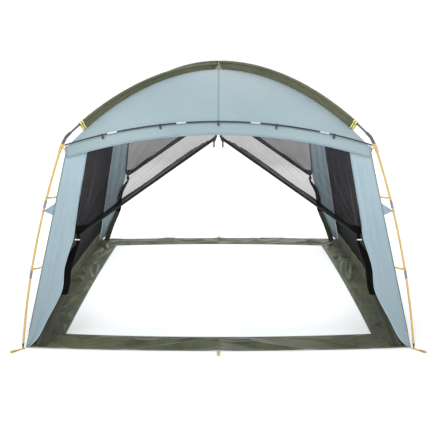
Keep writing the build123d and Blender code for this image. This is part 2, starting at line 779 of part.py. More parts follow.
# Stake loops: folded webbing that lies on the ground
LOOP_WIDTH = 20.0
LOOP_HEIGHT = 12.0
LOOP_LENGTH = 72.0
CORNER_TAIL = 55.0
EDGE_TAIL = 14.0
CORNER_START = 4.0  # from the skirt's corner to the webbing
EDGE_START = 2.0  # from the skirt's edge to the webbing
LOOP_CORNER = 0.1  # keeps the rounded ends just short of half circles


def stake_loop(start, out, tail):
    """Flat tail of webbing that opens into a stake loop, inside an open BuildPart."""
    across = UP.cross(out)
    with BuildSketch(Plane(origin=start, x_dir=out, z_dir=across * -1)) as loop:
        with Locations((tail / 2, STRAP / 2)):
            Rectangle(tail, STRAP)
        with Locations((tail + LOOP_LENGTH / 2 - LOOP_HEIGHT / 2, LOOP_HEIGHT / 2)):
            RectangleRounded(LOOP_LENGTH, LOOP_HEIGHT, LOOP_HEIGHT / 2 - LOOP_CORNER)
            RectangleRounded(
                LOOP_LENGTH - 2 * STRAP,
                LOOP_HEIGHT - 2 * STRAP,
                LOOP_HEIGHT / 2 - STRAP - LOOP_CORNER,
                mode=Mode.SUBTRACT,
            )
    extrude(loop.sketch, amount=LOOP_WIDTH / 2, both=True)


with BuildPart() as stake_loops:
    for corner, (side, depth) in CORNERS.items():
        out = Vector(side, depth, 0).normalized()
        stake_loop(out * (HALF_GROUND * sqrt(2) + CORNER_START), out, CORNER_TAIL)
    for face in FACES:
        out = Vector(*FACES[face], 0)
        stake_loop(out * (HALF_GROUND + SKIRT_BOW[face] + EDGE_START), out, EDGE_TAIL)
save(stake_loops.part, "stake_loops")
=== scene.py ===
from math import acos, asin, cos, hypot, pi, radians, sin, sqrt

import bmesh
import bpy
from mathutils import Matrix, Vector, noise


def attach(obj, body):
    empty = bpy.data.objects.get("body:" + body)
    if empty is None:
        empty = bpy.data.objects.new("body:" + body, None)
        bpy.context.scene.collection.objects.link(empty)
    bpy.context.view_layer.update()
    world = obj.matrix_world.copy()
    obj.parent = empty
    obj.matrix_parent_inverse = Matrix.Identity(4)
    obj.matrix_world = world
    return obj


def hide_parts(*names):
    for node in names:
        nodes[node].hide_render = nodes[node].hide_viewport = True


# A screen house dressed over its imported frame, in metres.
# X runs along the front, the front door faces -Y and +Z is up.
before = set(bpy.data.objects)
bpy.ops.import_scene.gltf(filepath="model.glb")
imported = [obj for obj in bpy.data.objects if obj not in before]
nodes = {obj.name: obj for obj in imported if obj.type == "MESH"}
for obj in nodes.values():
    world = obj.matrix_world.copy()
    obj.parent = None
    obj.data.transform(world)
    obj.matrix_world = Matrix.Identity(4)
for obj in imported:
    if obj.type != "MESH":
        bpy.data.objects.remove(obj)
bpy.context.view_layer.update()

BODY = "shelter"
UP = Vector((0, 0, 1))
CORNERS = {"front_left": (-1, -1), "front_right": (1, -1), "rear_left": (-1, 1), "rear_right": (1, 1)}
FACES = {"front": (0, -1), "rear": (0, 1), "left": (-1, 0), "right": (1, 0)}
POLE_ENDS = {"one": ("front_left", "rear_right"), "two": ("front_right", "rear_left")}

# Driving dimensions
HALF_GROUND = 1.525  # half of the square that the walls' feet stand on
HALF_EAVE = 1.203
EAVE_Z = 1.460
FOOT = 1.543  # x and y of each pole foot
HUB = (1.220, 1.558)  # x and y of each hub, and its height
ELBOW = (1.188, 1.625)  # x and y of the bend above each hub, and its height
APEX_Z = {"one": 2.176, "two": 2.198}  # middle of each main pole
LEG_BOW = 0.055
BROW_RISE = 0.190
POLE_R = 0.008

ROOF_APEX_Z = 2.128
ROOF_CORNER_Z = 1.530
ROOF_EDGE = 1.200
ROOF_RISE = {"front": 0.213, "rear": 0.213, "left": 0.009, "right": 0.009}
CROWN = 0.050
SLEEVE_R = 0.0122
SLEEVE_START = 0.013
SLEEVE_MOUTH = 1.519
BINDING = 0.032
FLAP = 0.105
FLAP_TOP = 0.014
FLAP_HALF = 1.185
FLAP_OUT = 1.208

PANEL_TOP = (1.030, 1.520)  # inner corner of a corner panel at the eave
PANEL_EDGE = ((1.145, 0.840), (1.215, 0.627), (1.240, 0.440), (1.355, 0.220), (1.430, 0.080), (1.505, 0.004))
DOOR_TOP = (0.022, 1.195, 1.625)  # where a free edge turns upright
EDGE_RISE = 0.035  # the upright end above that turn
TIE = (1.108, 0.840)  # x and height of each tie-back
SKIRT = 0.255
BOW = {"front": 0.060, "rear": 0.060, "left": 0.018, "right": 0.018}  # outward at the ground
BAND_Z = 0.124
FLOOR_GAP = 0.004
CLOTH = 0.001

RISE = (HALF_GROUND - HALF_EAVE) / EAVE_Z
brow_radius = (HUB[0] ** 2 + BROW_RISE**2) / (2 * BROW_RISE)
crease_drop = ROOF_APEX_Z - ROOF_CORNER_Z
crease_radius = (2 * ROOF_EDGE**2 + crease_drop**2) / (2 * crease_drop)


# ---- Small helpers ----
def mix(a, b, t):
    return a + (b - a) * t


def ease(t):
    t = min(max(t, 0.0), 1.0)
    return t * t * (3 - 2 * t)


def ripple(x, y, z=0.0):
    """Smooth repeatable noise from -1 to 1."""
    return noise.noise(Vector((x, y, z)))


def half_width(z):
    """Half of the square through the walls at a height."""
    return HALF_GROUND - RISE * z


def along_points(points, t):
    """Point at t from 0 to 1 on a smooth line through points of any dimension."""
    spans = len(points) - 1
    k = min(int(t * spans), spans - 1)
    s = t * spans - k
    near = [points[min(max(k + i, 0), spans)] for i in (-1, 0, 1, 2)]
    weights = (
        (-s + 2 * s**2 - s**3) / 2,
        (2 - 5 * s**2 + 3 * s**3) / 2,
        (s + 4 * s**2 - 3 * s**3) / 2,
        (s**3 - s**2) / 2,
    )
    return [sum(w * p[axis] for w, p in zip(weights, near)) for axis in range(len(points[0]))]


class Cloth:
    """Collects surface patches into one piece."""

    def __init__(self):
        self.verts, self.faces, self.uvs, self.slots = [], [], [], []

    def patch(self, place, across, along, flat=(1.0, 1.0), paint=0):
        """A grid: place(u, v) gives its points, and flat is its cut size in metres."""
        first = len(self.verts)
        for j in range(along + 1):
            for i in range(across + 1):
                u, v = i / across, j / along
                self.verts.append(place(u, v))
                self.uvs.append((u * flat[0], v * flat[1]))
        for j in range(along):
            for i in range(across):
                a = first + j * (across + 1) + i
                self.faces.append((a, a + 1, a + across + 2, a + across + 1))
                middle = ((i + 0.5) / across, (j + 0.5) / along)
                self.slots.append(paint(*middle) if callable(paint) else paint)

    def ribbon(self, path, side, width, along, length, paint=0, across=2):
        """A strip of webbing or tape along path(v), with side(v) across it."""
        def place(u, v):
            return path(v) + side(v) * (u - 0.5) * width
        self.patch(place, across, along, (width, length), paint)

    def tube(self, path, radius, along, length, around=10, paint=0):
        """A round cord or bead along path(v) of a radius, or of radius(v)."""
        def place(u, v):
            tangent = (path(min(v + 1e-3, 1)) - path(max(v - 1e-3, 0))).normalized()
            upright = abs(tangent.z) > 0.99
            side = (tangent.orthogonal() if upright else tangent.cross(UP)).normalized()
            size = radius(v) if callable(radius) else radius
            return path(v) + (side * cos(2 * pi * u) + side.cross(tangent) * sin(2 * pi * u)) * size
        self.patch(place, around, along, (0.02, length), paint)

    def piece(self, name, materials, replaced=(), thick=0.0):
        mesh = bpy.data.meshes.new(name)
        mesh.from_pydata([tuple(p) for p in self.verts], [], self.faces)
        layer = mesh.uv_layers.new(name="cut")
        for loop in mesh.loops:
            layer.data[loop.index].uv = self.uvs[loop.vertex_index]
        for polygon, paint in zip(mesh.polygons, self.slots):
            polygon.material_index = paint
            polygon.use_smooth = True
        for material in materials:
            mesh.materials.append(material)
        cleaned = bmesh.new()
        cleaned.from_mesh(mesh)
        bmesh.ops.remove_doubles(cleaned, verts=cleaned.verts, dist=2e-6)
        cleaned.to_mesh(mesh)
        cleaned.free()
        made = bpy.data.objects.new(name, mesh)
        bpy.context.scene.collection.objects.link(made)
        if thick:
            shell = made.modifiers.new("thickness", "SOLIDIFY")
            shell.thickness = thick
            shell.offset = 0.0
        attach(made, BODY)
        if replaced:
            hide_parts(*replaced)
        return made


# ---- Materials ----
def add(tree, kind, inputs=None, **settings):
    """Adds a node, sets it up and joins or fills its inputs."""
    made = tree.nodes.new(kind)
    for key, value in settings.items():
        setattr(made, key, value)
    for key, value in (inputs or {}).items():
        if isinstance(value, bpy.types.NodeSocket):
            tree.links.new(value, made.inputs[key])
        else:
            made.inputs[key].default_value = value
    return made


def calculate(tree, operation, first, second):
    """Result of one sum, product or comparison of numbers or sockets."""
    return add(tree, "ShaderNodeMath", {0: first, 1: second}, operation=operation).outputs[0]


def object_height(tree):
    """Height over the surface, in the object's own coordinates."""
    place = add(tree, "ShaderNodeTexCoord").outputs["Object"]
    return add(tree, "ShaderNodeSeparateXYZ", {0: place}).outputs["Z"]


def new_material(name, roughness, metallic=0.0, **extra):
    material = bpy.data.materials.new(name)
    material.use_nodes = True
    tree = material.node_tree
    shader = tree.nodes["Principled BSDF"]
    shader.inputs["Roughness"].default_value = roughness
    shader.inputs["Metallic"].default_value = metallic
    for key, value in extra.items():
        shader.inputs[key.replace("_", " ")].default_value = value
    return material, tree, shader


def hue(r, g, b):
    """Linear colour from display values of 0 to 255."""
    def linear(c):
        c /= 255
        return c / 12.92 if c <= 0.04045 else ((c + 0.055) / 1.055) ** 2.4
    return (linear(r), linear(g), linear(b), 1.0)


def dimmed(colour, share):
    """A colour given by display values, at a share of its light."""
    return [c * share for c in hue(*colour)[:3]] + [1.0]


def blend_colours(tree, factor, first, second):
    tone = add(tree, "ShaderNodeMix", data_type="RGBA")
    tree.links.new(factor, tone.inputs["Factor"])
    for place, value in (("A", first), ("B", second)):
        socket = [s for s in tone.inputs if s.name == place and s.type == "RGBA"][0]
        if isinstance(value, bpy.types.NodeSocket):
            tree.links.new(value, socket)
        else:
            socket.default_value = value
    return [s for s in tone.outputs if s.type == "RGBA"][0]


def mottle(tree, scale, detail=4.0, low=0.35, high=0.65, stretch=(1, 1, 1)):
    """Soft noise over the object, spread from 0 to 1."""
    place = add(tree, "ShaderNodeTexCoord").outputs["Object"]
    mapped = add(tree, "ShaderNodeMapping", {"Vector": place, "Scale": stretch})
    cloud = add(tree, "ShaderNodeTexNoise", {"Vector": mapped.outputs[0], "Scale": scale, "Detail": detail})
    spread = {"Value": cloud.outputs["Fac"], "From Min": low, "From Max": high}
    return add(tree, "ShaderNodeMapRange", spread).outputs["Result"]


def threads(tree, pitch, crossed=True):
    """Height of woven threads along both directions of the cut cloth."""
    place = add(tree, "ShaderNodeTexCoord").outputs["UV"]
    scale = 2 * pi / (20 * pitch)
    rows = [
        add(tree, "ShaderNodeTexWave", {"Vector": place, "Scale": scale}, bands_direction=axis).outputs["Fac"]
        for axis in ("X", "Y")
    ]
    return calculate(tree, "MULTIPLY" if crossed else "MAXIMUM", *rows)


def bumped(tree, shader, height, strength, distance):
    bump = add(tree, "ShaderNodeBump", {"Height": height, "Strength": strength, "Distance": distance})
    tree.links.new(bump.outputs[0], shader.inputs["Normal"])
    return bump


THROUGH = (0.012, 0.012, 0.012)  # how far light spreads inside a cloth
PAINTED_SHADE_FULL_BELOW = 0.20  # a cloth with a low tone has its darkest painted shade under this height
PAINTED_SHADE_GONE_ABOVE = 1.35  # and has its full tone, with no painted shade, over this one


def woven(name, pale, deep, pitch=0.0016, roughness=0.72, sheen=0.15, spots=2.2, glow=0.35, low=1.0):
    """Coated polyester: two close tones in soft patches, a fine weave and small creases.

    Daylight glows through the thin cloth, and a painted shade darkens its tone to the share `low` near the
    ground.
    """
    material, tree, shader = new_material(name, roughness, Sheen_Weight=sheen, Sheen_Roughness=0.45,
                                          Subsurface_Weight=glow, Subsurface_Radius=THROUGH)
    patches = blend_colours(tree, mottle(tree, spots), hue(*deep), hue(*pale))
    grain = calculate(tree, "MULTIPLY", mottle(tree, 160, 2.0, 0.3, 0.7), 0.35)
    tone = blend_colours(tree, grain, patches, dimmed(deep, 0.90))
    # painted shade: the tone falls from full at the upper height to the share `low` at the lower one
    if low < 1.0:
        span = {"Value": object_height(tree), "From Min": PAINTED_SHADE_FULL_BELOW, "From Max": PAINTED_SHADE_GONE_ABOVE}
        rise = add(tree, "ShaderNodeMapRange", span).outputs["Result"]
        tone = blend_colours(tree, rise, dimmed(deep, low), tone)
    tree.links.new(tone, shader.inputs["Base Color"])
    creases = mottle(tree, 9, 6.0, 0.2, 0.8)
    fine = bumped(tree, shader, threads(tree, pitch), 0.25, pitch * 0.2)
    soft = add(tree, "ShaderNodeBump", {"Height": creases, "Strength": 0.22, "Distance": 0.012})
    tree.links.new(soft.outputs[0], fine.inputs["Normal"])
    return material


def netting(name, colour, tint, cover, turned, sheen=0.1, turns=(0.15, 0.92)):
    """Insect mesh that hides a share `cover` of what is behind it, and a share `turned` when seen edge-on."""
    material, tree, shader = new_material(name, 0.7, Sheen_Weight=sheen, Sheen_Roughness=0.35,
                                          Specular_IOR_Level=0.08)
    tone = blend_colours(tree, mottle(tree, 5), hue(*colour), hue(*tint))
    tree.links.new(tone, shader.inputs["Base Color"])
    tilt = add(tree, "ShaderNodeLayerWeight", {"Blend": 0.5}).outputs["Facing"]
    cloud = calculate(tree, "MULTIPLY", mottle(tree, 22, 3.0), 0.03)
    least = calculate(tree, "ADD", cloud, cover)
    span = {"Value": tilt, "From Min": turns[0], "From Max": turns[1], "To Min": least, "To Max": turned}
    alpha = add(tree, "ShaderNodeMapRange", span, interpolation_type="SMOOTHSTEP")
    tree.links.new(alpha.outputs["Result"], shader.inputs["Alpha"])
    bumped(tree, shader, threads(tree, 0.0018, crossed=False), 0.4, 0.0004)
    return material


def webbing(name, pale, deep, pitch=0.0022, roughness=0.7, sheen=0.25):
    """Flat woven tape: ribs across it, worn paler along the raised threads."""
    material, tree, shader = new_material(name, roughness, Sheen_Weight=sheen, Sheen_Roughness=0.4,
                                          Specular_IOR_Level=0.2)
    ribs = threads(tree, pitch, crossed=False)
    tone = blend_colours(tree, ribs, hue(*deep), hue(*pale))
    worn = blend_colours(tree, mottle(tree, 26), tone, hue(*pale))
    tree.links.new(worn, shader.inputs["Base Color"])
    bumped(tree, shader, ribs, 0.6, 0.0006)
    return material


def striped(name, edge, middle):
    """Sleeve binding: pale and dark bands along its length."""
    material, tree, shader = new_material(name, 0.6, Sheen_Weight=0.2, Sheen_Roughness=0.4)
    place = add(tree, "ShaderNodeSeparateXYZ", {0: add(tree, "ShaderNodeTexCoord").outputs["UV"]})
    share = calculate(tree, "DIVIDE", place.outputs["Y"], BINDING)
    ramp = add(tree, "ShaderNodeValToRGB", {"Fac": share})
    stops = ramp.color_ramp.elements
    stops[0].position, stops[0].color = 0.0, hue(*middle)
    stops[1].position, stops[1].color = 0.12, hue(*edge)
    for position, colour in ((0.40, middle), (0.62, edge), (0.92, middle)):
        stop = stops.new(position)
        stop.color = hue(*colour)
    ramp.color_ramp.interpolation = "CONSTANT"
    grain = blend_colours(tree, mottle(tree, 60), ramp.outputs[0], hue(*edge))
    amount = calculate(tree, "MULTIPLY", mottle(tree, 90), 0.15)
    blended = blend_colours(tree, amount, ramp.outputs[0], grain)
    tree.links.new(blended, shader.inputs["Base Color"])
    bumped(tree, shader, threads(tree, 0.0018), 0.5, 0.0005)
    return material


def coated_pole(name, colour, worn, metallic, roughness, upper=None, change_z=0.0):
    """Anodised or lacquered tube with fine lengthwise grain and a few dull patches."""
    material, tree, shader = new_material(name, roughness, metallic, Coat_Weight=0.15, Coat_Roughness=0.25)
    tone = blend_colours(tree, mottle(tree, 30, 5.0, 0.45, 0.75), hue(*colour), hue(*worn))
    if upper:
        above = calculate(tree, "GREATER_THAN", object_height(tree), change_z)
        tone = blend_colours(tree, above, tone, hue(*upper))
    tree.links.new(tone, shader.inputs["Base Color"])
    grain = mottle(tree, 220, 2.0, 0.3, 0.7, (1, 1, 0.05))
    span = {"Value": grain, "To Min": roughness - 0.06, "To Max": roughness + 0.1}
    rough = add(tree, "ShaderNodeMapRange", span).outputs["Result"]
    tree.links.new(rough, shader.inputs["Roughness"])
    bumped(tree, shader, grain, 0.12, 0.0003)
    return material


def moulded(name, colour, edge, roughness=0.5):
    """Moulded plastic with a fine spark-eroded texture."""
    material, tree, shader = new_material(name, roughness, Coat_Weight=0.05)
    tone = blend_colours(tree, mottle(tree, 40, 3.0), hue(*colour), hue(*edge))
    tree.links.new(tone, shader.inputs["Base Color"])
    bumped(tree, shader, mottle(tree, 900, 2.0, 0.3, 0.7), 0.25, 0.0002)
    return material


BLUE = woven("canopy_blue", (157, 176, 183), (148, 168, 176), spots=1.6)
# corner panel cloth: its tone darkens to 0.72 near the ground as painted shade
PANEL_BLUE_PAINTED_SHADE = woven("panel_blue_painted_shade", (160, 180, 189), (150, 171, 180), spots=2.0, low=0.72)
FLAP_BLUE = woven("flap_blue", (148, 167, 172), (138, 157, 163), spots=1.6, glow=0.1)
HEM_BLUE = webbing("hem_blue", (138, 158, 166), (118, 138, 146), pitch=0.003)
OLIVE = woven("sleeve_olive", (106, 108, 82), (84, 87, 65), sheen=0.1)
PALE_OLIVE = woven("crown_olive", (160, 163, 146), (142, 146, 128), spots=6.0)
SKIRT_OLIVE = woven("skirt_olive", (86, 90, 60), (58, 61, 39), roughness=0.50, sheen=0.08, spots=4.5)
HEM_DARK = woven("curtain_hem", (70, 72, 56), (56, 58, 46), roughness=0.62, spots=4.0)
HEM_OLIVE = webbing("hem_olive", (100, 102, 80), (60, 62, 48), pitch=0.003)
STRIPES = striped("binding_stripes", (232, 226, 128), (92, 92, 52))
MESH = netting("door_mesh", (46, 45, 49), (56, 53, 60), 0.52, 0.64, 0.03)
GATHERED = netting("gathered_mesh", (9, 9, 10), (20, 19, 22), 0.92, 0.995, 0.05)
WALL_MESH = netting("wall_mesh", (12, 13, 13), (20, 21, 21), 0.42, 1.0, 0.0, (0.56, 0.83))
BLACK_TAPE = webbing("black_webbing", (24, 25, 26), (9, 9, 10), pitch=0.0018, sheen=0.02)
GREY_TAPE = webbing("grey_webbing", (98, 104, 104), (66, 72, 72))
GOLD_TAPE = webbing("gold_webbing", (204, 172, 100), (168, 136, 72))
BLUE_TAPE = webbing("blue_tape", (150, 172, 180), (126, 148, 156))
ZIP_BLACK = moulded("zip_coil", (24, 24, 26), (44, 44, 46), 0.35)
GOLD = coated_pole("gold_pole", (200, 168, 92), (182, 152, 86), 0.5, 0.40)
HUB_METAL = coated_pole("gold_hub", (204, 168, 90), (184, 150, 80), 0.45, 0.42, (86, 87, 90), 1.578)
DARK_POLE = coated_pole("dark_pole", (96, 98, 102), (74, 76, 80), 0.4, 0.4)
BLACK_POLE = coated_pole("black_pole", (38, 40, 43), (28, 29, 31), 0.3, 0.34)
FERRULE = coated_pole("grey_ferrule", (128, 132, 134), (104, 108, 110), 0.8, 0.34)
SILVER = coated_pole("silver_ferrule", (196, 204, 208), (176, 184, 190), 0.75, 0.3)
BLACK_PLASTIC = moulded("black_plastic", (34, 35, 36), (52, 53, 54))
OFF_WHITE = moulded("white_plastic", (232, 229, 218), (214, 210, 196), 0.42)
ZIP_METAL = coated_pole("black_zip_metal", (46, 46, 48), (66, 66, 68), 0.7, 0.36)

CAD_LOOKS = {
    "leg_": GOLD,
    "hub_": HUB_METAL,
    "roof_pole": DARK_POLE,
    "brow_pole": BLACK_POLE,
    "pole_ferrules": FERRULE,
    "brow_ferrules": SILVER,
    "pole_tips": BLACK_PLASTIC,
    "brow_clips": BLACK_PLASTIC,
    "zip_slider": ZIP_METAL,
    "zip_pull": ZIP_METAL,
    "toggle_": OFF_WHITE,
}


def dress_cad():
    for name, node in nodes.items():
        for start, material in CAD_LOOKS.items():
            if name.startswith(start):
                node.data.materials.clear()
                node.data.materials.append(material)


# ---- Frame geometry that the cloth follows ----
class Arch:
    """A circular arc in the upright plane along a level direction; angles are from straight up."""

    def __init__(self, along, centre_s, centre_z, radius):
        self.along = Vector((*along, 0)).normalized()
        self.across = self.along.cross(UP)
        self.centre = self.along * centre_s + UP * centre_z
        self.radius = radius

    def outward(self, angle):
        return self.along * sin(angle) + UP * cos(angle)

    def tangent(self, angle):
        return self.along * cos(angle) - UP * sin(angle)

    def point(self, angle, out=0.0, across=0.0):
        return self.centre + self.outward(angle) * (self.radius + out) + self.across * across

    def at_height(self, z):
        return acos((z - self.centre.z) / self.radius)


def main_arch(corner):
    pole = "one" if corner in POLE_ENDS["one"] else "two"
    half, rise = ELBOW[0] * sqrt(2), APEX_Z[pole] - ELBOW[1]
    radius = (half**2 + rise**2) / (2 * rise)
    return Arch(CORNERS[corner], 0, APEX_Z[pole] - radius, radius)


def leg_arch(corner):
    foot, hub = FOOT * sqrt(2), HUB[0] * sqrt(2)
    run, drop = foot - hub, HUB[1]
    chord = hypot(run, drop)
    radius = (chord**2 / 4 + LEG_BOW**2) / (2 * LEG_BOW)
    reach = radius - LEG_BOW
    centre_s = (foot + hub) / 2 - drop / chord * reach
    centre_z = HUB[1] / 2 - run / chord * reach
    return Arch(CORNERS[corner], centre_s, centre_z, radius)


def crease_height(reach):
    """Height of the seam between two roof panels at a distance from the centre."""
    return ROOF_APEX_Z - crease_radius + sqrt(crease_radius**2 - 2 * reach**2)


def arc_height(half, rise, x):
    """Height over its ends of an arc at x from its middle."""
    radius = (half**2 + rise**2) / (2 * rise)
    return sqrt(radius**2 - x**2) - radius + rise


def roof_height(face, reach, x):
    rise = 0.001 + ROOF_RISE[face] * (reach / ROOF_EDGE) ** 2
    return crease_height(reach) + arc_height(reach, rise, x)


def brow_height(x):
    return HUB[1] + BROW_RISE - brow_radius + sqrt(brow_radius**2 - x**2)


def facing(face, x, out, z):
    """A point at x along a face, out from the centre and at a height."""
    away = Vector((*FACES[face], 0))
    return away * out + UP.cross(away) * x + UP * z


# ---- Roof ----
def make_roof(face):
    def place(u, v):
        reach = mix(CROWN * 0.9, ROOF_EDGE, v)
        x = (2 * u - 1) * reach
        slack = 0.004 * sin(pi * v) * (1 - (2 * u - 1) ** 2)
        pull = 0.0022 * ripple(x * 5, reach * 16, 3.0) * ease((abs(2 * u - 1) - 0.55) / 0.45)
        soft = 0.0025 * ripple(x * 2.2, reach * 2.2, 7.0)
        edge = ease((1 - abs(2 * u - 1)) * 12) * ease((1 - v) * 14)
        return facing(face, x, reach, roof_height(face, reach, x) - (slack - pull - soft) * edge)

    roof = Cloth()
    roof.patch(place, 96, 60, (2.45, 1.34))
    made = roof.piece(f"canopy_{face}", [BLUE], [f"roof_{face}"], CLOTH)

    seams = Cloth()
    if face in ("front", "rear"):
        def middle(v):
            return place(0.5, v) + UP * 0.0012
        side = UP.cross(Vector((*FACES[face], 0)))
        seams.ribbon(middle, lambda v: side, 0.011, 60, 1.3)
    def edge_line(v):
        return place(v, 1.0) + Vector((*FACES[face], 0)) * 0.0015
    def edge_side(v):
        return (UP + Vector((*FACES[face], 0)) * 0.4).normalized()
    seams.ribbon(edge_line, edge_side, 0.012, 80, 2.4)
    hem = seams.piece(f"canopy_{face}_seams", [HEM_BLUE], (), 0.0008)


# Pale gussets that rise between the sleeves: from foot to tip, half their width and their distance out
GUSSET_HALF = (0.042, 0.006)
GUSSET_OUT = (CROWN + 0.012, 0.012)
GUSSET_HOLLOW = 0.010


def make_crown():
    patch = Cloth()
    top = crease_height(CROWN)

    def place(u, v):
        x, y = mix(-CROWN, CROWN, u), mix(-CROWN, CROWN, v)
        dome = 0.004 * (1 - (2 * u - 1) ** 2) * (1 - (2 * v - 1) ** 2)
        return Vector((x, y, top + 0.002 + dome))
    patch.patch(place, 16, 16, (2 * CROWN, 2 * CROWN))
    for face in FACES:
        def gusset(u, v, face=face):
            half = mix(*GUSSET_HALF, v**0.8)
            out = mix(*GUSSET_OUT, v) - GUSSET_HOLLOW * sin(pi * v)
            crumple = 0.002 * ripple(u * 4, v * 3, out * 40)
            z = mix(top + 0.001, APEX_Z["one"] + POLE_R, v)
            return facing(face, mix(-half, half, u), out + crumple, z)
        patch.patch(gusset, 12, 16, (0.08, 0.09), 1)
    made = patch.piece("crown_cover", [PANEL_BLUE_PAINTED_SHADE, PALE_OLIVE], ["crown_patch"], 0.0012)


# ---- Sleeves over the main poles ----
FIN_STEPS = 7
TUBE_STEPS = 14


def sleeve_surface(corner, low_s, high_s, swell, wrinkle):
    """place(u, v) round a sleeve: up one side of the fin, over the pole and down the other side."""
    arch = main_arch(corner)
    seed = list(CORNERS).index(corner) * 11.0
    steps = 2 * FIN_STEPS + TUBE_STEPS

    def place(u, v):
        s = mix(low_s, high_s, v)
        angle = asin(s / arch.radius)
        gap = arch.centre.z - (ROOF_APEX_Z - crease_radius)
        foot_radius = sqrt(crease_radius**2 - (gap * sin(angle)) ** 2) - gap * cos(angle)
        foot = arch.centre + arch.outward(angle) * (foot_radius + 0.001)
        k = u * steps
        if FIN_STEPS <= k <= steps - FIN_STEPS:
            turn = mix(-0.93 * pi, 0.93 * pi, (k - FIN_STEPS) / TUBE_STEPS)
            size = SLEEVE_R + swell + wrinkle * 0.12 * ripple(s * 30, turn * 1.3, seed)
            return arch.point(angle, size * cos(turn), size * sin(turn))
        left = k < FIN_STEPS
        drop = k / FIN_STEPS if left else (steps - k) / FIN_STEPS
        top = arch.point(angle, -(SLEEVE_R + swell) * 0.97)
        fold = ripple(s * 13 + drop * 2.2, seed) + 0.6 * ripple(s * 31 - drop * 3.4, seed + 5)
        sway = wrinkle * fold * max(sin(pi * drop), 0.0) ** 0.8
        apart = mix(0.0014, (SLEEVE_R + swell) * 0.22, drop) * (-1 if left else 1)
        return foot + (top - foot) * drop + arch.across * (sway + apart)
    return place, steps


def make_sleeves(pole):
    sleeve = Cloth()
    for corner in POLE_ENDS[pole]:
        place, steps = sleeve_surface(corner, SLEEVE_START, SLEEVE_MOUTH, 0.0, 0.0085)
        sleeve.patch(place, steps, 150, (0.24, 1.6))
    made = sleeve.piece(f"sleeves_{pole}", [OLIVE], [f"pole_sleeves_{pole}"])


def make_bindings():
    binding = Cloth()
    for corner in CORNERS:
        place, steps = sleeve_surface(corner, SLEEVE_MOUTH - 0.002, SLEEVE_MOUTH + BINDING, 0.0011, 0.0)
        binding.patch(place, steps, 8, (0.24, BINDING))
    binding.piece("mouth_bindings", [STRIPES], ["sleeve_bindings"], 0.0012)


# ---- Flaps under the brow poles ----
FLAP_ROOF = 0.12  # share of the flap between the roof's edge and its line under the pole
UNDER_POLE = 0.006  # the flap's seam on the roof stays this far under the pole's middle


def make_flap(face):
    def place(u, v):
        x = mix(-FLAP_HALF, FLAP_HALF, u)
        if v < FLAP_ROOF:
            t = v / FLAP_ROOF
            top = min(roof_height(face, ROOF_EDGE, x), brow_height(x) - UNDER_POLE)
            return facing(face, x, mix(ROOF_EDGE, FLAP_OUT, t), mix(top, brow_height(x) - FLAP_TOP, t))
        t = (v - FLAP_ROOF) / (1 - FLAP_ROOF)
        wave = 0.004 * ripple(x * 4.5, t * 1.2, 2.0) + 0.0025 * ripple(x * 14, t * 2, 4.0)
        drop = mix(FLAP_TOP, FLAP, t)
        return facing(face, x, FLAP_OUT + 0.004 * t + wave * t, brow_height(x) - drop)

    flap = Cloth()
    flap.patch(place, 160, 16, (2.5, 0.115))
    for side in (-1, 1):
        top = place((side + 1) / 2, FLAP_ROOF)
        low = place((side + 1) / 2, 1.0)
        back = facing(face, side * 1.212, 1.150, ROOF_CORNER_Z - 0.02)
        shoulder = facing(face, side * 1.206, 1.206, ROOF_CORNER_Z + 0.004)

        def gusset(u, v, top=top, low=low, back=back, shoulder=shoulder):
            if u < 0.5:
                upper = mix(top, shoulder, ease(u))
            else:
                upper = mix(mix(top, shoulder, 0.5), back, ease(2 * u - 1))
            return mix(upper, low, v * (1 - 0.02 * u))
        flap.patch(gusset, 10, 10, (0.07, 0.09))
    made = flap.piece(f"flap_{face}", [FLAP_BLUE], [f"brow_flap_{face}"], CLOTH)

    hem = Cloth()
    out = Vector((*FACES[face], 0))
    for level, width in ((0.93, 0.013), (0.13, 0.008)):
        hem.ribbon(lambda v, level=level: place(v, level) + out * 0.0013, lambda v: UP, width, 160, 2.5)
    strip = hem.piece(f"flap_{face}_hem", [HEM_BLUE], (), 0.0008)


# ---- Corner panels ----
def inner_edge(z):
    """How far from the middle a corner panel's inner edge is at a height."""
    low_z = [z_at for _, z_at in PANEL_EDGE]
    if z >= low_z[0]:
        return mix(PANEL_EDGE[0][0], PANEL_TOP[0], (z - low_z[0]) / (PANEL_TOP[1] - low_z[0]))
    t_low, t_high = 0.0, 1.0
    for _ in range(24):
        t = (t_low + t_high) / 2
        if along_points(PANEL_EDGE, t)[1] > z:
            t_low = t
        else:
            t_high = t
    return along_points(PANEL_EDGE, t_low)[0]


def make_panel(corner):
    side, depth = CORNERS[corner]
    seed = list(CORNERS).index(corner) * 7.0

    def place(u, v):
        top = mix(PANEL_TOP[1], EAVE_Z + 0.03, u)
        z = mix(FLOOR_GAP, top, v)
        x = mix(inner_edge(z), half_width(z) - 0.001, u)
        streak = sin(2 * pi * (2.4 * u + 0.25 * ripple(u * 3, v * 1.5, seed))) * ease(v * 1.6) * 0.0065
        fan = 0.008 * ripple(u * 4 + seed, v * 2.2) + 0.0028 * ripple(u * 11, v * 3.5 - u * 3, seed)
        edges = sin(pi * min(max(u, 0.0), 1.0)) ** 0.6 * ease((1 - v) * 9)
        return Vector((side * x, depth * (half_width(z) + (streak + fan) * edges), z))

    panel = Cloth()
    panel.patch(place, 36, 110, (0.26, 1.56))
    made = panel.piece(f"panel_{corner}", [PANEL_BLUE_PAINTED_SHADE], [f"corner_panel_{corner}"], CLOTH)
    trim = Cloth()
    off = Vector((0, depth * 0.0013, 0))
    trim.ribbon(lambda v: place(0.0, v) + off, lambda v: Vector((1, 0, 0)), 0.010, 110, 1.6)
    seam = trim.piece(f"panel_{corner}_hem", [BLUE_TAPE], (), 0.0008)


# ---- Side walls and their bands ----
ROOF_JOIN = 1.5  # height where a wall leaves its slope and runs up to the roof's edge
WALL_TOP = 1.51  # a wall gets no narrower above this height


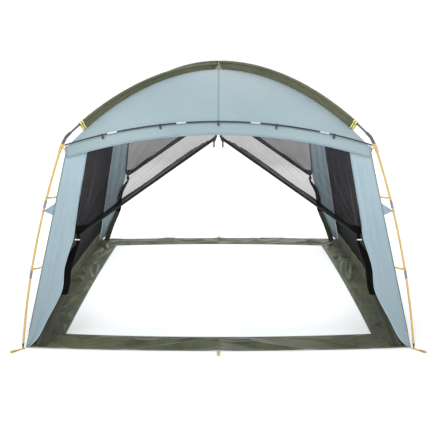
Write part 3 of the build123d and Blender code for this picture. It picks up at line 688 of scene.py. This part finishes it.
def wall_surface(face, low, high, folds):
    """place(u, v) over a side wall between two heights, with folds of a depth."""
    def place(u, v):
        z = mix(low, high, v)
        half = half_width(min(z, WALL_TOP)) - 0.002
        x = mix(-half, half, u)
        bow = 0.001 + BOW[face] * (1 - z / EAVE_Z) * (1 - (x / half) ** 2) if z < EAVE_Z else 0.001
        out = half_width(z)
        if z >= ROOF_JOIN:
            out = mix(half_width(ROOF_JOIN), ROOF_EDGE, (z - ROOF_JOIN) / (ROOF_CORNER_Z - ROOF_JOIN))
        edges = ease(u * 12) * ease((1 - u) * 12)
        wave = ripple(x * 2.6, z * 0.7, 1.0) + 0.5 * ripple(x * 7, z * 1.6, 9.0)
        return facing(face, x, out + bow + folds * wave * edges * ease((ROOF_JOIN - z) * 8), z)
    return place


def make_wall(face):
    wall = Cloth()
    place = wall_surface(face, BAND_Z, ROOF_CORNER_Z, 0.009)
    wall.patch(place, 110, 60, (3.0, 1.44))
    made = wall.piece(f"mesh_wall_{face}", [WALL_MESH], [f"side_wall_{face}"])
    trim = Cloth()
    away = Vector((*FACES[face], 0))
    level = UP.cross(away)
    tapes = (
        (lambda v: place(v, 0.995), UP, 2.4),
        (lambda v: place(0.0, v), level, 1.45),
        (lambda v: place(1.0, v), level, 1.45),
    )
    for line, way, length in tapes:
        trim.ribbon(lambda v, line=line: line(v) + away * 0.0012, lambda v, way=way: way, 0.014, 90, length)
    edge = trim.piece(f"mesh_wall_{face}_tape", [GREY_TAPE], (), 0.0008)

    band = Cloth()
    low_place = wall_surface(face, FLOOR_GAP, BAND_Z + 0.004, 0.006)
    band.patch(low_place, 140, 10, (3.05, 0.125))
    made = band.piece(f"ground_band_{face}", [SKIRT_OLIVE], [f"wall_band_{face}"], CLOTH)
    hem = Cloth()
    hem.ribbon(lambda v: low_place(v, 0.96) + away * 0.0013, lambda v: UP, 0.012, 140, 3.0)
    strip = hem.piece(f"ground_band_{face}_seam", [HEM_OLIVE], (), 0.0008)


# ---- Skirt on the ground ----
FOLD_SLANT = 2.2  # how far the skirt's folds run sideways for each step across it
FOLD_LIFT = 0.040


def make_skirt(face):
    seed = list(FACES).index(face) * 13.0
    inner_edge_out = HALF_GROUND - SKIRT

    def place(u, v):
        out = mix(HALF_GROUND, inner_edge_out, v)
        x = (2 * u - 1) * (out - 0.0006)
        bow = BOW[face] * (1 - (2 * u - 1) ** 2)
        slant = x + v * SKIRT * (FOLD_SLANT if ripple(x * 0.9, seed) > 0 else -FOLD_SLANT)
        ridge = (1 - abs(ripple(slant * 1.5, v * 1.2, seed)) * 3.2) * 0.6
        ridge += (1 - abs(ripple(slant * 4.1, v * 2.2, seed + 4)) * 3.2) * 0.3
        end = ease((1 - abs(2 * u - 1)) * 9)
        lift = FOLD_LIFT * max(ridge, 0.0) ** 1.5 * max(sin(pi * min(v + 0.05, 1.0)), 0.0) ** 0.7
        turn_up = 0.004 * (1 - v)
        return facing(face, x, out + bow, 0.0012 + turn_up + lift * mix(0.35, 1.0, end))

    skirt = Cloth()
    skirt.patch(place, 220, 34, (2.8, SKIRT))
    made = skirt.piece(f"ground_skirt_{face}", [SKIRT_OLIVE], [f"skirt_{face}"], CLOTH)
    hem = Cloth()
    away = Vector((*FACES[face], 0))
    hem.ribbon(lambda v: place(v, 0.965) + UP * 0.0012, lambda v: away, 0.012, 200, 2.6)
    hem.ribbon(lambda v: place(v, 0.03) + UP * 0.0012, lambda v: away, 0.010, 200, 3.0)
    strip = hem.piece(f"ground_skirt_{face}_hem", [HEM_OLIVE], (), 0.0008)


# ---- Door curtains, tied back ----
FOLDS = 15
FOLD_DEPTH = 0.030
TOP_SHARE = 0.70  # part of the gathered cloth that comes from the door's top edge
NECK = 0.013  # half of the gathered cloth's width at the tie-back
NECK_ABOVE = 0.035  # how far over the tie-back the free edge starts to run straight
NECK_IN = 0.018  # how far inside the wall the neck's middle is
FAN_END = 0.93  # height where the last of the gathered cloth leaves the panel's edge
FAN_SAG = 0.020
FAN_SWING = 0.010
EDGE_SHIFT = 0.016  # how far the folds keep clear of the free edge's line
TAIL = (  # x and height of the middle, and the two half sizes
    (1.108, 0.872, 0.0125, 0.0115),
    (1.109, 0.812, 0.0125, 0.0115),
    (1.158, 0.720, 0.030, 0.020),
    (1.200, 0.600, 0.036, 0.022),
    (1.230, 0.430, 0.040, 0.024),
    (1.330, 0.210, 0.042, 0.026),
    (1.410, 0.006, 0.048, 0.026),
)
HEM_TOP = 0.40  # height where the tail's mesh ends and its olive hem starts
EDGE_BAND = (0.24, 0.003)  # share of the cloth bunched dark along the free edge, at the neck and at the top
TAIL_FOLDS = 15
TAIL_SLIM = {-1: 1.0, 1: 0.70}  # the rear tails are gathered tighter than the front ones
PLEAT_BITE = (0.30, 0.80)  # how deep the tail's pleats cut in, at the neck and below it
TURN = 0.97  # how far up the free edge it turns upright


def curtain_frame(corner):
    side, depth = CORNERS[corner]
    top = Vector((side * DOOR_TOP[0], depth * DOOR_TOP[1], DOOR_TOP[2]))
    tie_z = TIE[1] + NECK_ABOVE
    tie = Vector((side * TIE[0], depth * (half_width(tie_z) - 0.008), tie_z))
    eave = Vector((side * PANEL_TOP[0], depth * half_width(PANEL_TOP[1]), PANEL_TOP[1]))
    along = (tie - top).normalized()
    normal = (tie - top).cross(eave - top).normalized()
    return top, tie, along, normal, normal.cross(along)


def make_curtain(corner):
    side, depth = CORNERS[corner]
    top, tie, along, normal, inward = curtain_frame(corner)
    outward = normal if normal.y * depth > 0 else normal * -1
    seed = list(CORNERS).index(corner) * 5.0
    neck_mid = Vector((side * TIE[0], depth * (half_width(TIE[1]) - NECK_IN), TAIL[0][1]))

    def border(s):
        if s < TOP_SHARE:
            t = (s / TOP_SHARE) ** 1.35
            x = mix(DOOR_TOP[0], PANEL_TOP[0], t)
            z = brow_height(x) - FLAP + mix(0.014, 0.008, t)
            return Vector((side * x, depth * mix(DOOR_TOP[1], half_width(PANEL_TOP[1]), t), z))
        z = mix(PANEL_TOP[1], FAN_END, (s - TOP_SHARE) / (1 - TOP_SHARE))
        return Vector((side * (inner_edge(z) + 0.004), depth * (half_width(z) - 0.004), z))

    def place(s, r):
        neck = neck_mid + Vector((side * mix(-NECK, NECK, s), 0, 0.006 * s))
        line = mix(neck, border(s), r) + inward * (EDGE_SHIFT * ease((r - 0.02) / 0.07) * (1 - r))
        straight = mix(tie, top, min(r / TURN, 1.0)) + inward * 0.0015
        low = mix(neck, straight, ease(r / 0.09))
        edge = mix(low, border(0), max(r - TURN, 0.0) / (1 - TURN))
        line = mix(edge, line, ease(s * 30))
        phase = 2 * pi * (FOLDS * s + 0.9 * ripple(s * 4.2, seed))
        slack = FOLD_DEPTH * (0.75 + 0.5 * ripple(s * 9, seed + 3)) * sqrt(max(1 - r**1.3, 0.0))
        slack = min(slack, 0.009 + 0.075 * r)
        sides = ease(s * 22) * ease((1 - s) * 10)
        sag = Vector((0, 0, -FAN_SAG)) * sin(pi * r) * max(sin(pi * s), 0.0) ** 0.7
        swing = inward * (FAN_SWING * sin(phase * 0.5) * r * (1 - r) * sides)
        return line + outward * (slack * sin(phase) * sides) + sag * sides + swing

    def fan_paint(s, r):
        return 1 if s < mix(*EDGE_BAND, r**0.7) or r < 0.09 else 0

    curtain = Cloth()
    curtain.patch(place, FOLDS * 12, 44, (1.15, 1.05), fan_paint)

    def tail_place(u, v):
        x, z, wide, deep = along_points(TAIL, v)
        slim = mix(1.0, TAIL_SLIM[depth], ease((TIE[1] - z) / 0.2))
        x, wide = x + 1.6 * wide * (1 - slim), wide * slim
        middle = Vector((side * x, depth * (half_width(z) - deep - 0.004), z))
        turn = 2 * pi * u
        pleat = 0.5 - 0.5 * cos(TAIL_FOLDS * turn + 1.6 * ripple(v * 1.6, seed) + 1.2 * sin(turn + seed))
        uneven = 0.85 + 0.3 * ripple(cos(turn) * 1.5, sin(turn) * 1.5, seed + v)
        bite = mix(*PLEAT_BITE, ease(v * 3)) * uneven
        size = 1 - bite * pleat
        low = 0.004 * ripple(cos(turn) * 3, sin(turn) * 3, seed) + 0.004 if v > 0.97 else 0.0
        return middle + Vector((side * wide * cos(turn) * size, deep * sin(turn) * size, low))

    def tail_paint(u, v):
        return 2 if along_points(TAIL, v)[1] < HEM_TOP else 1
    curtain.patch(tail_place, TAIL_FOLDS * 16, 70, (1.2, 0.88), tail_paint)
    materials = [MESH, GATHERED, HEM_DARK]
    made = curtain.piece(f"curtain_{corner}", materials, [f"door_curtain_{corner}"])


# ---- Zips along the free edges ----
TAPE = 0.012
COIL = 0.0042
TOOTH = 0.006


def make_zips():
    zips = Cloth()
    for corner in CORNERS:
        top, tie, along, normal, inward = curtain_frame(corner)
        length = (tie - top).length - 0.030

        def sloping(v, t=top, a=along, n=inward, l=length):
            return t + a * l * v - n * (TAPE / 2 - 0.002)
        zips.ribbon(sloping, lambda v, n=inward: n, TAPE + 0.004, 90, length, 0)

        rise = (UP - normal * UP.dot(normal)).normalized()
        out = rise.cross(normal)
        out = out if out.dot(inward) < 0 else out * -1

        def upright(v, t=top, r=rise, o=out):
            return t + r * EDGE_RISE * mix(-0.1, 1.0, v) + o * (TAPE / 2 - 0.002)
        zips.ribbon(upright, lambda v, o=out: o, TAPE + 0.004, 8, EDGE_RISE, 0)

        def coil(u, v, t=top, a=along, n=inward, up=normal, l=length):
            turn = 2 * pi * u
            size = COIL / 2 * (0.82 + 0.18 * cos(2 * pi * v * l / TOOTH))
            centre = t + a * l * v - n * (TAPE + COIL / 2 - 0.0005)
            return centre + (n * cos(turn) + up * sin(turn)) * size
        zips.patch(coil, 8, int(length / TOOTH) * 4, (0.013, length), 1)
    zips.piece("curtain_zips", [BLACK_TAPE, ZIP_BLACK], ["zip_tapes"])


# ---- Tie-backs round the gathered curtains ----
TIE_R = 0.0185
TIE_BAND = 0.020
POST_R = 0.0017


def make_ties():
    ties = Cloth()
    for corner, (side, depth) in CORNERS.items():
        centre = Vector((side * TIE[0], depth * (half_width(TIE[1]) - NECK_IN), TIE[1]))

        def band(u, v, centre=centre):
            turn = 2 * pi * u
            size = TIE_R + 0.0006 * cos(3 * turn) + 0.0010 * sin(pi * v)
            rise = (v - 0.5) * TIE_BAND + 0.0015 * sin(2 * turn)
            return centre + Vector((cos(turn) * size, sin(turn) * size, rise))
        ties.patch(band, 40, 6, (0.12, TIE_BAND))
        post = centre + Vector((0, depth * TIE_R, 0))
        ties.tube(lambda v, p=post, d=depth: p + Vector((0, d * 0.0165 * v, 0)), POST_R, 10, 0.016, paint=1)
        ties.tube(lambda v, p=post, d=depth: p + Vector((0, d * (0.0145 + 0.004 * v), 0)),
                  lambda v: 0.0034 * sqrt(max(1 - (2 * v - 1) ** 2, 0.02)), 8, 0.004, paint=1)
    ties.piece("tie_loops", [BLACK_TAPE, OFF_WHITE], ["tie_backs"])


# ---- Webbing on the frame ----
TIE_HEIGHTS = (0.630, 1.171)
TAB_HEIGHT = 1.072
TAB_BASE = 0.095
RING_WALL = 0.0016


def leg_ring(cloth, arch, z, width, wall=RING_WALL):
    """A doubled band of webbing round a leg."""
    angle = arch.at_height(z)
    centre, axis, out = arch.point(angle), arch.tangent(angle), arch.outward(angle)

    def place(u, v):
        turn = 2 * pi * u
        size = POLE_R + 0.0012 + wall * 0.5 + 0.0006 * sin(pi * v)
        return centre + (out * cos(turn) + arch.across * sin(turn)) * size + axis * (v - 0.5) * width
    cloth.patch(place, 24, 6, (0.06, width))
    return centre


def make_leg_ties():
    ties = Cloth()
    for corner in CORNERS:
        arch = leg_arch(corner)
        for z in TIE_HEIGHTS:
            centre = leg_ring(ties, arch, z, 0.016)
            seam = arch.along * (half_width(z) * sqrt(2) + 0.001) + UP * (z - 0.004)
            start = centre - arch.along * (POLE_R + 0.001)
            for shift in (-0.0012, 0.0012):
                def path(v, start=start, seam=seam, shift=shift, arch=arch):
                    return mix(start, seam, v) + arch.across * shift * (1 - v) - UP * 0.003 * sin(pi * v)
                ties.ribbon(path, lambda v: UP, 0.013, 12, 0.08)
    ties.piece("leg_webbing", [GOLD_TAPE], ["leg_ties"], 0.0009)


def make_leg_tabs():
    tabs = Cloth()
    for corner in CORNERS:
        arch = leg_arch(corner)
        point = arch.point(arch.at_height(TAB_HEIGHT))
        tip = point - arch.along * (POLE_R + 0.003)
        high_z, low_z = TAB_HEIGHT + TAB_BASE / 2, TAB_HEIGHT - TAB_BASE / 2
        seam_high = arch.along * half_width(high_z) * sqrt(2) + UP * high_z
        seam_low = arch.along * half_width(low_z) * sqrt(2) + UP * low_z

        def place(u, v, tip=tip, high=seam_high, low=seam_low, arch=arch):
            base = mix(low, high, v)
            end = tip + UP * (v - 0.5) * 0.012
            return mix(base, end, u) + arch.across * 0.004 * sin(pi * u) * sin(2 * pi * v)
        tabs.patch(place, 12, 14, (0.07, TAB_BASE))
        leg_ring(tabs, arch, TAB_HEIGHT, 0.012)
    tabs.piece("leg_gussets", [BLUE_TAPE], ["leg_tabs"], 0.0009)


def make_hub_straps():
    straps = Cloth()
    for corner, (side, depth) in CORNERS.items():
        out = Vector((side, depth, 0)).normalized()
        start = out * (ROOF_EDGE * sqrt(2) - 0.012) + UP * (ROOF_CORNER_Z - 0.004)
        end = out * (HUB[0] * sqrt(2) - 0.0135) + UP * (HUB[1] - 0.014)
        straps.ribbon(lambda v, a=start, b=end: mix(a, b, v) - UP * 0.002 * sin(pi * v),
                      lambda v, o=out: UP.cross(o), 0.018, 10, 0.05)
    straps.piece("hub_webbing", [GREY_TAPE], ["hub_straps"], 0.0014)


LOOP_LENGTH = 0.072
LOOP_HEIGHT = 0.0115
LOOP_WIDTH = 0.020


def make_stake_loops():
    loops = Cloth()

    def loop(start, out, tail, paint):
        """Tail of webbing that runs out, rises into an eye and comes back."""
        outline = (
            (0, 0.0013),
            (tail, 0.0013),
            (tail + LOOP_LENGTH * 0.5, 0.0014),
            (tail + LOOP_LENGTH * 0.88, 0.0022),
            (tail + LOOP_LENGTH * 0.985, LOOP_HEIGHT * 0.5),
            (tail + LOOP_LENGTH * 0.88, LOOP_HEIGHT * 0.93),
            (tail + LOOP_LENGTH * 0.5, LOOP_HEIGHT),
            (tail + 0.012, LOOP_HEIGHT * 0.5),
            (tail - 0.004, 0.0030),
            (tail * 0.3, 0.0027),
        )

        def path(v):
            s, z = along_points(outline, v)
            return start + out * s + UP * z
        loops.ribbon(path, lambda v: UP.cross(out), LOOP_WIDTH, 72, 0.2, paint, across=3)

    for corner, (side, depth) in CORNERS.items():
        out = Vector((side, depth, 0)).normalized()
        loop(out * (HALF_GROUND * sqrt(2) + 0.004), out, 0.055, 0)
    for face in FACES:
        out = Vector((*FACES[face], 0))
        loop(out * (HALF_GROUND + BOW[face] + 0.002), out, 0.014, 0)
    loops.piece("peg_loops", [GOLD_TAPE], ["stake_loops"], 0.0011)


# ---- Studio ----
CAMERA_PLACE = (0.0125, -5.90, 2.168)
CAMERA_PITCH = 14.4  # degrees down from level
CAMERA_LENS = 49.34


def make_camera():
    data = bpy.data.cameras.new("camera")
    data.lens = CAMERA_LENS
    camera = bpy.data.objects.new("camera", data)
    camera.location = CAMERA_PLACE
    camera.rotation_euler = (radians(90 - CAMERA_PITCH), 0, 0)
    bpy.context.scene.collection.objects.link(camera)
    bpy.context.scene.camera = camera


def make_floor():
    floor = bpy.data.meshes.new("floor")
    reach, z = 60.0, -0.0012
    floor.from_pydata([(-reach, -reach, z), (reach, -reach, z), (reach, reach, z), (-reach, reach, z)], [],
                      [(0, 1, 2, 3)])
    material, tree, shader = new_material("studio_floor", 0.9)
    tone = blend_colours(tree, mottle(tree, 0.6), (0.97, 0.97, 0.97, 1), (0.95, 0.95, 0.95, 1))
    tree.links.new(tone, shader.inputs["Base Color"])
    shader.inputs["Emission Color"].default_value = (1.0, 1.0, 1.0, 1.0)
    shader.inputs["Emission Strength"].default_value = 0.12
    floor.materials.append(material)
    made = bpy.data.objects.new("floor", floor)
    bpy.context.scene.collection.objects.link(made)


LIGHTS = (  # name, place, what it points at, size and power
    ("key", (-3.5, -6.5, 4.5), (0, 0, 0.9), 4.0, 130.0),
    ("fill", (4.5, -6.0, 2.5), (0, 0, 0.9), 4.0, 60.0),
    ("low", (0.0, -7.5, 1.6), (0, 0, 0.9), 4.0, 36.0),
    ("inside", (0.0, -0.9, 1.2), (0, 2.4, 0.5), 0.9, 34.0),
    ("back", (1.0, 6.5, 3.5), (0, 0, 0.9), 5.0, 90.0),
)


def make_lights():
    world = bpy.data.worlds.new("studio")
    world.use_nodes = True
    sky = world.node_tree.nodes["Background"]
    sky.inputs["Color"].default_value = (1.0, 1.0, 1.0, 1.0)
    sky.inputs["Strength"].default_value = 1.0
    bpy.context.scene.world = world
    for name, place, target, size, power in LIGHTS:
        data = bpy.data.lights.new(name, "AREA")
        data.size = size
        data.energy = power
        light = bpy.data.objects.new(name, data)
        light.location = place
        light.rotation_euler = (Vector(target) - Vector(place)).to_track_quat("-Z", "Y").to_euler()
        light.visible_camera = False
        bpy.context.scene.collection.objects.link(light)
    bpy.context.scene.view_settings.view_transform = "Standard"


make_camera()
make_floor()
make_lights()
dress_cad()
for face in FACES:
    make_roof(face)
make_crown()
for pole in POLE_ENDS:
    make_sleeves(pole)
make_bindings()
for face in ("front", "rear"):
    make_flap(face)
for corner in CORNERS:
    make_panel(corner)
for face in ("left", "right"):
    make_wall(face)
for face in FACES:
    make_skirt(face)
make_ties()
for corner in CORNERS:
    make_curtain(corner)
make_zips()
make_leg_ties()
make_leg_tabs()
make_hub_straps()
make_stake_loops()
